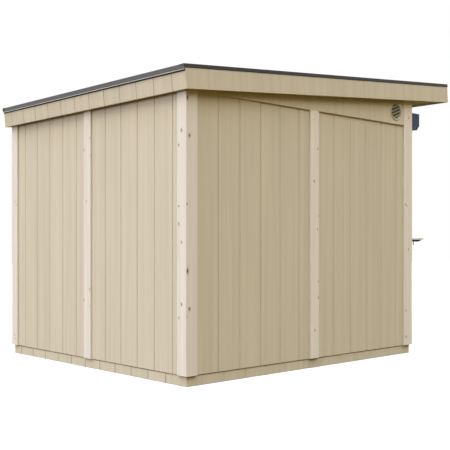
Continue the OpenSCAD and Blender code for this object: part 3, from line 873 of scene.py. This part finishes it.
edgeTrim = {
    "sheet": 1.5 * mm,
    "bead": 10 * mm,            # width of the raised bead along the roof's edge
    "inner": 0.4 * mm,          # how much lower the face's fold is on its inner side
    # in mm: the flange's thickness, the bead's start and its rise there; its inner and outer folds
    "beadShape": ((1.1, 5, 1.3), (0.3, 3), (1.3, 0.5)),
    "hem": ((0, 0.6), (-0.6, 0), (-1.1, 0.3), (-1.1, 1.4)),     # mm from the lip's face and from its foot
    "round": 1.6 * mm,          # height of the rounded fold over the face, and of the drip lip under it
    "flare": 5 * mm,            # how far the back trim's face lies behind its drip lip
    "tuck": 1.0 * mm,           # how far the other trims' lower edge turns in
    "lip": 6 * mm,              # height of the back trim's lower edge painted pale as a highlight
    "lapShown": 8.5 * mm,       # how much of the roofing's turned down edge shows under the back trim, a black strip that also stands for the shade there: painted shade
    "lapAt": (0.3 * mm, 1.5 * mm),      # that edge's two faces, from the fascia
    "lapDown": 5 * mm,          # how far its upper end lies under the covering
}


def trimProfile(flangeIn, top, low, cover, plane, foot):
    # the folded sheet in section, outwards from the fascia: plane is its face's back, foot its lip's front
    t = plane + edgeTrim["sheet"]
    lip, bead = edgeTrim["round"], edgeTrim["bead"]
    rise = lip + abs(foot - t)
    face = [(t, low + rise), (foot, low + lip)]
    face += [(foot + u * mm, low + v * mm) for u, v in edgeTrim["hem"]]
    face.append((plane, low + rise - edgeTrim["inner"]))
    if flangeIn is None:
        return [(plane, top), (t, top)] + face
    (thick, start, swell), (inner, crown), (outer, fold) = inMm(edgeTrim["beadShape"])
    return [(plane, cover), (-flangeIn, cover), (-flangeIn, cover + thick), (-bead - start, cover + swell),
            (-bead, top - inner), (-bead + crown, top), (t - outer, top), (t - inner, top - fold),
            (t, top - lip)] + face


def makeTrims():
    sideLo, sideHi = nodeBox("fascia_left", roof)
    cover, halfWidth = sideHi.z, -sideLo.x
    for name, sign in (("trim_left", -1), ("trim_right", 1)):
        lo, hi = nodeBox(name, roof)
        near, far = sorted((abs(lo.x), abs(hi.x)))
        outer = far - halfWidth
        plane, foot = outer - edgeTrim["sheet"], outer - edgeTrim["tuck"]
        mesh = newMesh()
        addBar(mesh, roof @ frameAt((sign * halfWidth, lo.y, 0), sign * sideways, upwards, backwards),
               trimProfile(halfWidth - near, hi.z, lo.z, cover, plane, foot), hi.y - lo.y)
        makePiece(name + "_sheet", mesh, "anthraciteSheet", name)
    sides = -nodeBox("trim_left", roof)[1].x
    for name, sign, edge in (("trim_back", -1, sideLo.y), ("trim_front", 1, sideHi.y)):
        lo, hi = nodeBox(name, roof)
        inner, outer = sorted(sign * (y - edge) for y in (lo.y, hi.y))
        plane, foot = outer - edgeTrim["sheet"], outer - edgeTrim["tuck"]
        if name == "trim_back":
            plane, foot = plane - edgeTrim["flare"], outer
        flange = trimProfile(-inner, hi.z, lo.z, cover, plane, foot)
        corner = trimProfile(None, cover, lo.z, cover, plane, foot)
        mesh = newMesh()
        parts = ((-sides, sides, flange), (-halfWidth, -sides, corner), (sides, halfWidth, corner))
        for low, high, profile in parts:
            addBar(mesh, roof @ alongX(low, edge, 0, sign), profile, high - low)
        if name == "trim_front":
            makePiece(name + "_sheet", mesh, "anthraciteSheet", name)
            continue
        # the back trim's face is painted paler for the key light's sheen, and its lower edge paler still as a
        # painted highlight
        for face in mesh.faces:
            height = (roof.inverted() @ face.calc_center_median()).z
            face.material_index = int(height < lo.z + edgeTrim["lip"])
        piece = makePiece(name + "_sheet", mesh, "keySheenSheet", name)
        piece.data.materials.append(finish["lipHighlightSheet"])
        # the roofing's edge, turned down behind this trim; what shows of it below the trim is a black strip
        # that also serves as painted shade
        near, far = edgeTrim["lapAt"]
        foot, top = lo.z - edgeTrim["lapShown"], cover - edgeTrim["lapDown"]
        mesh = newMesh()
        addBar(mesh, roof @ alongX(-halfWidth, edge, 0, sign),
               [(near, foot), (far, foot), (far, top), (near, top)], 2 * halfWidth)
        makePiece("roof_sheet_edge", mesh, "roofRubber")


makeTrims()
print("roof covered and trimmed")

vent = {
    "rim": 11 * mm,
    "outerEdge": ((0, 0), (0, 0.35), (1.2, 0.75), (3.5, 0.97), (5, 1)),     # mm inwards, share of thickness
    "innerEdge": ((1, 1), (0, 0.85), (-0.6, 0.15)),     # mm outwards from the slots, share of thickness
    "throat": 0.1,              # where the sleeve begins, as a share of the thickness
    "sleeve": 64.4 * mm,        # outer radius of the sleeve in the bore
    "wall": 2 * mm,
    "sleeveLength": 45 * mm,
    "rows": 5,                  # of slots, with a slat between each two
    "slatWidth": 12 * mm,
    "slatDepth": 4.6 * mm,
    "slatBehind": 1 * mm,       # the flange's face
    "divider": 6 * mm,
    "slant": 20,                # degrees
    "gauzeAt": 14 * mm,         # fly screen, behind the face of the boards
    "gauzePitch": 2.4 * mm,     # coarser than a real one's 1.5 mm, so that it shows
    "gauzeWire": 0.7 * mm,
    "screwAt": 74.5 * mm,       # from the middle
    "screw": (2.8 * mm, 0.4 * mm),      # radius and height of its head
    "soft": 1.5 * mm,           # bevel of a slat's edges
    "into": 0.5 * mm,           # how far a bar runs into what it ends at
}


def addVentBar(mesh, middle, outward, across, along, offset, width, near, far, reach):
    # a bar with softened edges across a round hole, between two levels on the way outward
    soft, half = min(vent["soft"], width / 4), width / 2
    section = [(offset - half, near - soft), (offset - half + soft, near), (offset + half - soft, near),
               (offset + half, near - soft), (offset + half, far), (offset - half, far)]
    length = math.sqrt(reach ** 2 - max(abs(offset) - half, 0) ** 2) + vent["into"]
    addBar(mesh, frameAt(middle - along * length, across, outward, along), section, 2 * length)


def makeVent(name, sign):
    lo, hi = nodeBox(name)
    thick, radius = hi.x - lo.x, (hi.z - lo.z) / 2
    middle = (lo + hi) / 2
    middle.x = (lo if sign > 0 else hi).x
    outward = sign * sideways
    place = pointing(middle, outward)
    slot, sleeve, inside = radius - vent["rim"], vent["sleeve"], vent["sleeve"] - vent["wall"]
    # moulded flange, domed a little and rolled over at both edges, and the sleeve behind it
    section = [(radius - u * mm, thick * share) for u, share in vent["outerEdge"]]
    section += [(slot + u * mm, thick * share) for u, share in vent["innerEdge"]]
    section.append((inside, thick * vent["throat"]))
    section += [(u, -vent["sleeveLength"]) for u in (inside, sleeve)] + [(sleeve, 0), (radius, 0)]
    mesh = newMesh()
    addTurned(mesh, place, section, 72)
    makePiece(name + "_grille", mesh, "ventPlastic", name)
    # slats across the flange, one divider that holds them, and the fly screen behind
    tilt = math.radians(vent["slant"])
    along = Vector((0, math.cos(tilt), -math.sin(tilt)))
    upward = Vector((0, math.sin(tilt), math.cos(tilt)))
    front = thick - vent["slatBehind"]
    levels = (front, front - vent["slatDepth"], slot)
    mesh = newMesh()
    for i in range(1, vent["rows"]):
        offset = i * 2 * slot / vent["rows"] - slot
        addVentBar(mesh, middle, outward, upward, along, offset, vent["slatWidth"], *levels)
    addVentBar(mesh, middle, outward, along, upward, 0.0, vent["divider"], *levels)
    # the slats take the darker copy of the plastic: painted shade
    makePiece(name + "_slats", mesh, "ventSlatsShaded")
    wires = int(inside / vent["gauzePitch"])
    levels = (-vent["gauzeAt"], -vent["gauzeAt"] - vent["gauzeWire"], inside)
    mesh = newMesh()
    for i in range(-wires, wires + 1):
        for ways in ((upward, along), (along, upward)):
            addVentBar(mesh, middle, outward, *ways, i * vent["gauzePitch"], vent["gauzeWire"], *levels)
    makePiece(name + "_screen", mesh, "gauze")
    mesh = newMesh()
    for u, v in arc(0, 0, vent["screwAt"], 45, 315, 3):
        addScrew(mesh, place @ Vector((u, v, thick - vent["screw"][1])), outward, *vent["screw"])
    makePiece(name + "_screws", mesh, "zincScrew")


makeVent("vent_left", -1)
makeVent("vent_right", 1)
print("vents made")

shutter = {
    "capThickness": 7 * mm,
    "capRim": 5 * mm,
    "capStep": 0.8 * mm,        # width of the step down from the rim
    "capSink": 1.6 * mm,
    "capScrews": ((0.12, 0.14), (0.12, 0.86), (0.88, 0.86), (0.66, 0.14)),     # shares of depth and height
    "screw": (4 * mm, 1.6 * mm),        # radius and height of its head
    "screwAt": 1.9 * mm,        # where the head starts, behind the cap's rim
    "topEdge": ((0, 3), (1, 1), (3, 0)),        # mm back from the front and down from the top
    "inset": 1 * mm,            # of the housing inside the caps
    "cover": 0.55,              # height of the inspection cover's upper edge, as a share of the housing's
    "seam": 2.2 * mm,           # groove round the inspection cover
    "seamAt": (0.28, 0.35),     # the lower groove's edges, as shares of the chamfer
    "ribs": 3,                  # along the bar
    "ribDepth": 0.9 * mm,
    "ribEdge": 1 * mm,
    "rubber": 9 * mm,           # height of the seal under the bar
    "rubberSides": 1.6 * mm,    # how far the seal's sides lie inside the bar's
    "rubberEdge": ((1.4, 2.4), (2.4, 0.5)),     # mm back from the bar's face and up from the seal's foot
    "rubberShort": 4 * mm,      # of the bar at each end
    "wall": 2 * mm,             # of the rails
    "railCorner": 1.2 * mm,
    "slot": 42 * mm,            # depth of the rails' slot
    "clear": 1 * mm,            # between the bar and the slot's edges
    "undercut": 1.6 * mm,       # of the slot behind its edges, where the brushes lie
    "slotEdge": 1 * mm,         # over which the slot widens to that
    "brush": ((2, 0), (6, 0), (4.6, 1.9), (3.4, 1.9)),      # its section, in mm from the slot's edge
}


def makeShutterBox():
    lo, hi = nodeBox("shutter_box")
    depth, height = hi.y - lo.y, hi.z - lo.z
    lowFront = [spot.z - lo.z for spot in nodeSpots("shutter_box") if abs(spot.y - lo.y) < 0.1 * mm]
    chamfer = max(z for z in lowFront if z < height - 1 * mm)
    inset, groove, cover = shutter["inset"], shutter["seam"], height * shutter["cover"]

    def topEdge(front, top):
        return [(front - u, top - v) for u, v in inMm(shutter["topEdge"])] + [(0, top)]

    # housing, with a groove above the cover and one along the chamfer where the two sheets meet
    low, high = (chamfer * share for share in shutter["seamAt"])
    front, seam = depth - inset, depth - chamfer + low
    body = [(0, inset), (depth - chamfer, inset), (seam, low + inset),
            (seam - groove / 2, low + inset + groove), (depth - chamfer + high, high + inset),
            (front, chamfer + inset * 0.4), (front, cover), (front - groove, cover + groove * 0.4),
            (front, cover + groove)] + topEdge(front, height - inset)
    cap = [(0, 0), (depth - chamfer, 0), (depth, chamfer)] + topEdge(depth, height)
    thick = shutter["capThickness"]
    mesh = newMesh()
    addBar(mesh, alongX(lo.x + thick, hi.y, lo.z, -1), body, hi.x - lo.x - 2 * thick)
    makePiece("shutter_housing", mesh, "shutterPaint", "shutter_box")
    mesh, screws = newMesh(), newMesh()
    for x, side in ((lo.x, -1), (hi.x, 1)):
        rings = addBar(mesh, alongX(min(x, hi.x - thick), hi.y, lo.z, -1), cap, thick)
        end = set(rings[0] if side < 0 else rings[1])
        faces = [face for face in mesh.faces if set(face.verts) == end]
        bmesh.ops.recalc_face_normals(mesh, faces=mesh.faces)
        bmesh.ops.inset_region(mesh, faces=faces, thickness=shutter["capRim"])
        bmesh.ops.inset_region(mesh, faces=faces, thickness=shutter["capStep"])
        for vert in faces[0].verts:
            vert.co.x -= side * shutter["capSink"]
        for u, v in shutter["capScrews"]:
            spot = (x - side * shutter["screwAt"], hi.y - u * depth, lo.z + v * height)
            addScrew(screws, spot, side * sideways, *shutter["screw"])
    makePiece("shutter_caps", mesh, "shutterPaint")
    makePiece("shutter_screws", screws, "zincScrew")


def makeShutterRails():
    bar = nodeBox("shutter_bar")
    keys = ("clear", "wall", "railCorner", "slot", "undercut", "slotEdge")
    clear, t, r, deep, under, soft = (shutter[key] for key in keys)
    metal, brush = newMesh(), newMesh()
    for lo, hi in solidsOf("shutter_rails"):
        side = 1 if lo.x > 0 else -1
        width, depth, height = hi - lo
        low, high = bar[0].y - clear - lo.y, bar[1].y + clear - lo.y
        place = frameAt(((lo if side > 0 else hi).x, lo.y, lo.z), side * sideways, backwards, upwards)
        wideHigh, wideLow = high + under, low - under
        section = [(0, r), (r, 0), (width - r, 0), (width, r), (width, depth), (0, depth), (0, high),
                   (t, high), (t + soft, wideHigh), (deep, wideHigh),
                   (deep, wideLow), (t + soft, wideLow), (t, low), (0, low)]
        addBar(metal, place, section, height)
        for edge, way in ((wideHigh, -1), (wideLow, 1)):
            strip = [(t + u, edge + way * v) for u, v in inMm(shutter["brush"])]
            addBar(brush, place, strip, height)
    makePiece("shutter_guides", metal, "shutterPaint", "shutter_rails")
    makePiece("shutter_brushes", brush, "blackRubber")


def makeShutterBar():
    lo, hi = nodeBox("shutter_bar")
    thick, height = hi.y - lo.y, hi.z - lo.z
    foot, sunk, edge = shutter["rubber"], thick - shutter["ribDepth"], shutter["ribEdge"]
    rib = (height - foot) / (2 * shutter["ribs"] + 1)
    outline = [(0, foot), (thick, foot)]
    for i in range(shutter["ribs"]):
        low = foot + rib * (2 * i + 1)
        outline += [(thick, low), (sunk, low + edge), (sunk, low + rib - edge), (thick, low + rib)]
    outline += [(thick, height), (0, height)]
    mesh = newMesh()
    addBar(mesh, alongX(lo.x, hi.y, lo.z, -1), outline, hi.x - lo.x)
    makePiece("shutter_end_bar", mesh, "barPaint", "shutter_bar")
    half = [(shutter["rubberSides"], foot)] + inMm(shutter["rubberEdge"])
    seal = half + [(thick / 2, 0)] + [(thick - u, v) for u, v in reversed(half)]
    short = shutter["rubberShort"]
    mesh = newMesh()
    addBar(mesh, alongX(lo.x + short, hi.y, lo.z, -1), seal, hi.x - lo.x - 2 * short)
    makePiece("shutter_seal", mesh, "blackRubber")


makeShutterBox()
makeShutterRails()
makeShutterBar()
print("shutter made")

counter = {
    "corner": 18 * mm,          # radius of the front corners, seen from above
    "edge": 2.5 * mm,           # rounding of the laminate's edge
    "steps": 3,                 # faces round that edge
    "cornerSteps": 6,
    "clear": 1 * mm,            # between the board and the post at its side
}


def makeCounter():
    # a plate with rounded edges above and below, notched round the front posts
    lo, hi = nodeBox("counter_board")
    postFace = nodeBox("post_front_left")[0].y
    inner = nodeBox("post_front_right")[0].x - counter["clear"]
    r, steps = counter["corner"], counter["cornerSteps"]
    outline = [(-inner, hi.y), (-inner, postFace), (lo.x, postFace)]
    outline += arc(lo.x + r, lo.y + r, r, 180, 270, steps) + arc(hi.x - r, lo.y + r, r, 270, 360, steps)
    outline += [(hi.x, postFace), (inner, postFace), (inner, hi.y)]
    mesh = newMesh()
    bottom = mesh.faces.new([mesh.verts.new((x, y, lo.z)) for x, y in outline])
    for made in bmesh.ops.extrude_face_region(mesh, geom=[bottom])["geom"]:
        if isinstance(made, bmesh.types.BMVert):
            made.co.z = hi.z
    bmesh.ops.recalc_face_normals(mesh, faces=mesh.faces)
    edges = [edge for edge in mesh.edges if abs(edge.verts[0].co.z - edge.verts[1].co.z) < 1e-7]
    bmesh.ops.bevel(mesh, geom=edges, offset=counter["edge"], segments=counter["steps"], profile=0.5,
                    affect="EDGES")
    makePiece("counter_top", mesh, "whiteLaminate", "counter_board")


bracket = {
    "sheet": 5 * mm,
    "plateCorner": 6 * mm,
    "root": 17 * mm,            # height of the arm
    "tip": 6 * mm,
    "taper": 45 * mm,           # length of the arm's sloping end
    "fillet": 12 * mm,
    "pin": 4 * mm,              # its radius
    "pinDrop": 33 * mm,         # below the arm
    "pinOut": 110 * mm,         # from the posts' face
    "pinHead": ((0, 0), (0.65, 0), (0.95, 1.2), (1, 5), (1, 9), (0.78, 10)),    # share of its radius, height
    "neck": 2 * mm,             # of the pin, under the arm
    "boltsAt": (22 * mm, 72 * mm),      # above the plate's foot
    "bolt": ((6.5, 0), (6.5, 1), (5.2, 2.4), (2.925, 3.4), (0, 3.8)),       # its dome: radius and height, mm
}


def makeBrackets():
    # a wall plate, a tapered arm with a fillet under its root, and a spring pin that lets the flap down
    steel, bolts = newMesh(), newMesh()
    t, root, tip, taper, fillet = (bracket[key] for key in ("sheet", "root", "tip", "taper", "fillet"))
    r, drop, corner = bracket["pin"], bracket["pinDrop"], bracket["plateCorner"]
    pinAt = nodeBox("post_front_left")[0].y - bracket["pinOut"]
    pin = [(r * share, height * mm) for share, height in bracket["pinHead"]]
    pin += [(pin[-1][0], drop - bracket["neck"]), (r, drop), (r, drop + root), (0, drop + root)]
    for lo, hi in solidsOf("counter_brackets"):
        x, face, top = (lo.x + hi.x) / 2, hi.y, hi.z
        half, tall, reach = (hi.x - lo.x) / 2, top - lo.z, lo.y - face
        plate = [(-half, corner), (-half + corner, 0), (half - corner, 0), (half, corner), (half, tall),
                 (-half, tall)]
        addBar(steel, frameAt((x, face, lo.z), sideways, upwards, -backwards), plate, t)
        arm = [(0, 0), (0, -root - fillet), (-t, -root - fillet), (-t - fillet, -root),
               (reach + taper, -root), (reach + 1 * mm, -tip), (reach, 1 * mm - tip), (reach, 0)]
        addBar(steel, alongX(x - t / 2, face, top), arm, t)
        addTurned(steel, pointing((x, pinAt, top - root - drop), upwards), pin, 20)
        for z in bracket["boltsAt"]:
            addTurned(bolts, pointing((x, face - t, lo.z + z), -backwards), inMm(bracket["bolt"]), 18)
    makePiece("bracket_plates", steel, "bracketPaint", "counter_brackets")
    makePiece("bracket_bolts", bolts, "zincScrew")


makeCounter()
makeBrackets()
print("counter made")

door = {
    "boards": 5,
    "boardThickness": 19 * mm,
    "bevel": 3.6 * mm,
    "frameWidth": 95 * mm,
    "edge": 2 * mm,             # bevel of the frames
    "gap": 3 * mm,              # round the leaf
    "stop": 12 * mm,            # how far the rebate laps behind the leaf
    "knots": (0.6, 3.5 * mm, 6 * mm),       # in the frame: spacing, smallest, largest
}
hinge = {       # mm
    "leaf": ((-0.5, -50), (-30, -50), (-35, -45), (-35, 45), (-30, 50), (-0.5, 50)),  # from the pin's middle
    "leafThickness": 2.4,
    "screws": ((22, -34), (22, 0), (22, 34)),
    "screw": (1.9, 3.6, 1.1),       # where its head starts, its radius and height
    "pinOut": 6,                # from the door's face
    "radius": 5.9,
    "knuckles": 5,
    "knuckleEnds": ((0.4, 0.3), (0, 0.8)),      # in from the barrel's side, in from the knuckle's end
}
handle = {      # mm
    "plate": (40, 170),
    "plateCorner": 10,
    "plateThickness": 5.2,
    "fieldThickness": 6,        # of the raised field on it
    "field": (0.86, 0.965),     # its share of the plate's width and height
    "lever": 8,                 # radius
    "bend": 14,                 # radius
    "tip": ((4, 1), (1, 0.88), (0, 0.6)),       # distance from the lever's end, share of its radius
    "rose": ((0, 0), (13, 0), (13, 3), (11, 4.5)),      # round the lever's stem: radius, height
    "roseAt": 5,                # from the door's face
    "lock": ((0, 0), (8.5, 0), (8.5, 3), (7.6, 4), (0, 4)),
    "lockAt": (5.5, 0, -52),    # from the plate's middle: outwards, along the door, up
    "screwsAt": ((5.8, 0, -72), (5.8, 0, 72)),
    "screw": (3.4, 1),          # radius and height of its head
}


def makeDoorFrame():
    lo, hi = nodeBox("door_frame")
    leafLo, leafHi = nodeBox("door_leaf")
    edges = {"front": door["edge"], "back": door["edge"]}
    rng = random.Random("door_frame")
    mesh = newMesh()
    inner, outer, head = leafLo.y - door["gap"], leafHi.y + door["gap"], leafHi.z + door["gap"]
    for low, high in ((lo.y, inner), (outer, hi.y)):
        knots = randomKnots(rng, high - low, hi.z - lo.z, *door["knots"])
        addBoard(mesh, upright, *between(lo, hi, 1, low, high), 2, 0, 1, rng, steps=2, knots=knots, **edges)
    addBoard(mesh, upright, (lo.x, inner, head), (hi.x, outer, hi.z), 1, 0, 1, rng, **edges)
    reach = door["gap"] + door["stop"]
    stops = ((inner, inner + reach, lo.z, 2), (outer - reach, outer, lo.z, 2),
             (inner + reach, outer - reach, head - reach, 1))
    for low, high, foot, along in stops:
        addBoard(mesh, upright, (lo.x, low, foot), (leafLo.x, high, head), along, 0, 1, rng, **edges)
    makePiece("door_jambs", mesh, "postSpruce", "door_frame")


def makeDoorLeaf():
    lo, hi = nodeBox("door_leaf")
    rng = random.Random("door_leaf")
    skin, wide = hi.x - door["boardThickness"], door["frameWidth"]
    mesh = newMesh()
    addBoards(mesh, upright, (skin, lo.y, lo.z), hi, 2, 0, 1, lo.y, (hi.y - lo.y) / door["boards"],
              cladding["gap"], rng, front=door["bevel"], bevelLow=cladding["drip"])
    makePiece("door_boards", mesh, "claddingSpruce", "door_leaf")
    mesh = newMesh()
    for low, high in ((lo.y, lo.y + wide), (hi.y - wide, hi.y)):
        addBoard(mesh, upright, (lo.x, low, lo.z), (skin, high, hi.z), 2, 0, -1, rng, front=door["edge"])
    for level in (0.0, 0.5, 1.0):
        foot = lo.z + (hi.z - lo.z - wide) * level
        addBoard(mesh, upright, (lo.x, lo.y + wide, foot), (skin, hi.y - wide, foot + wide), 1, 0, -1, rng,
                 front=door["edge"])
    makePiece("door_ledges", mesh, "liningSpruce")


def addHinge(mesh, screws, y, lo, hi, face):
    # two screwed leaves, and a barrel in knuckles
    middle = (lo + hi) / 2
    start, *head = (size * mm for size in hinge["screw"])
    for side in (-1, 1):
        addBar(mesh, alongX(face, y, middle, -side), inMm(hinge["leaf"]), hinge["leafThickness"] * mm)
        for out, up in inMm(hinge["screws"]):
            addScrew(screws, (face + start, y + side * out, middle + up), sideways, *head)
    length, r = (hi - lo) / hinge["knuckles"], hinge["radius"] * mm
    ends = inMm(hinge["knuckleEnds"])
    half = [(0, ends[0][1])] + [(r - u, w) for u, w in ends]
    for i in range(hinge["knuckles"]):
        addTurned(mesh, pointing((face + hinge["pinOut"] * mm, y, lo + i * length), upwards),
                  half + [(u, length - w) for u, w in reversed(half)], 20)


def addHandle(mesh, screws, lo, hi, face):
    # long plate with a lever above and a lock cylinder below
    wide, high = (size * mm for size in handle["plate"])
    corner, r, bend = (handle[key] * mm for key in ("plateCorner", "lever", "bend"))
    middle = Vector((face, hi.y - wide / 2, (lo.z + hi.z) / 2))
    plate = [(u - wide / 2, v - high / 2) for u, v in roundedBox(wide, high, corner, corner, 4)]
    field = [(u * handle["field"][0], v * handle["field"][1]) for u, v in plate]
    addBar(mesh, alongX(*middle), plate, handle["plateThickness"] * mm)
    addBar(mesh, alongX(*middle), field, handle["fieldThickness"] * mm)
    reach, start = hi.x - face - r, handle["roseAt"] * mm
    stem = [(r, start), (r, reach - r), (0, reach - r)]
    addTurned(mesh, pointing(middle + start * sideways, sideways), inMm(handle["rose"]) + stem, 28)
    # the lever: out from the plate, round a bend, and along the door
    path = [(reach - bend * (1 - v), middle.y - bend * (1 - u), turn, r)
            for turn, (u, v) in zip(range(0, 91, 15), arc(0, 0, 1, 0, 90, 6))]
    path += [(reach, lo.y + back * mm, 90, r * share) for back, share in handle["tip"]]
    rings = []
    for x, y, turn, size in path:
        side = Matrix.Rotation(math.radians(-turn), 3, "Z") @ -backwards
        rings.append([mesh.verts.new(Vector((face + x, y, middle.z)) + side * u + upwards * v)
                      for u, v in arc(0, 0, size, 0, 360, 24)[:-1]])
    joinRings(mesh, rings)
    mesh.faces.new(rings[0])
    mesh.faces.new(rings[-1])
    lockAt = middle + Vector(handle["lockAt"]) * mm
    addTurned(mesh, pointing(lockAt, sideways), inMm(handle["lock"]), 28)
    for spot in handle["screwsAt"]:
        addScrew(screws, middle + Vector(spot) * mm, sideways, *(size * mm for size in handle["screw"]))


def makeDoorFittings():
    leafLo, leafHi = nodeBox("door_leaf")
    steel, screws = newMesh(), newMesh()
    for lo, hi in solidsOf("door_fittings"):
        if lo.y < leafLo.y:
            addHinge(steel, screws, leafLo.y - door["gap"] / 2, lo.z, hi.z, leafHi.x)
        else:
            addHandle(steel, screws, lo, hi, leafHi.x)
    makePiece("door_ironmongery", steel, "stainless", "door_fittings")
    makePiece("door_screws", screws, "zincScrew")


makeDoorFrame()
makeDoorLeaf()
makeDoorFittings()
print("door made")
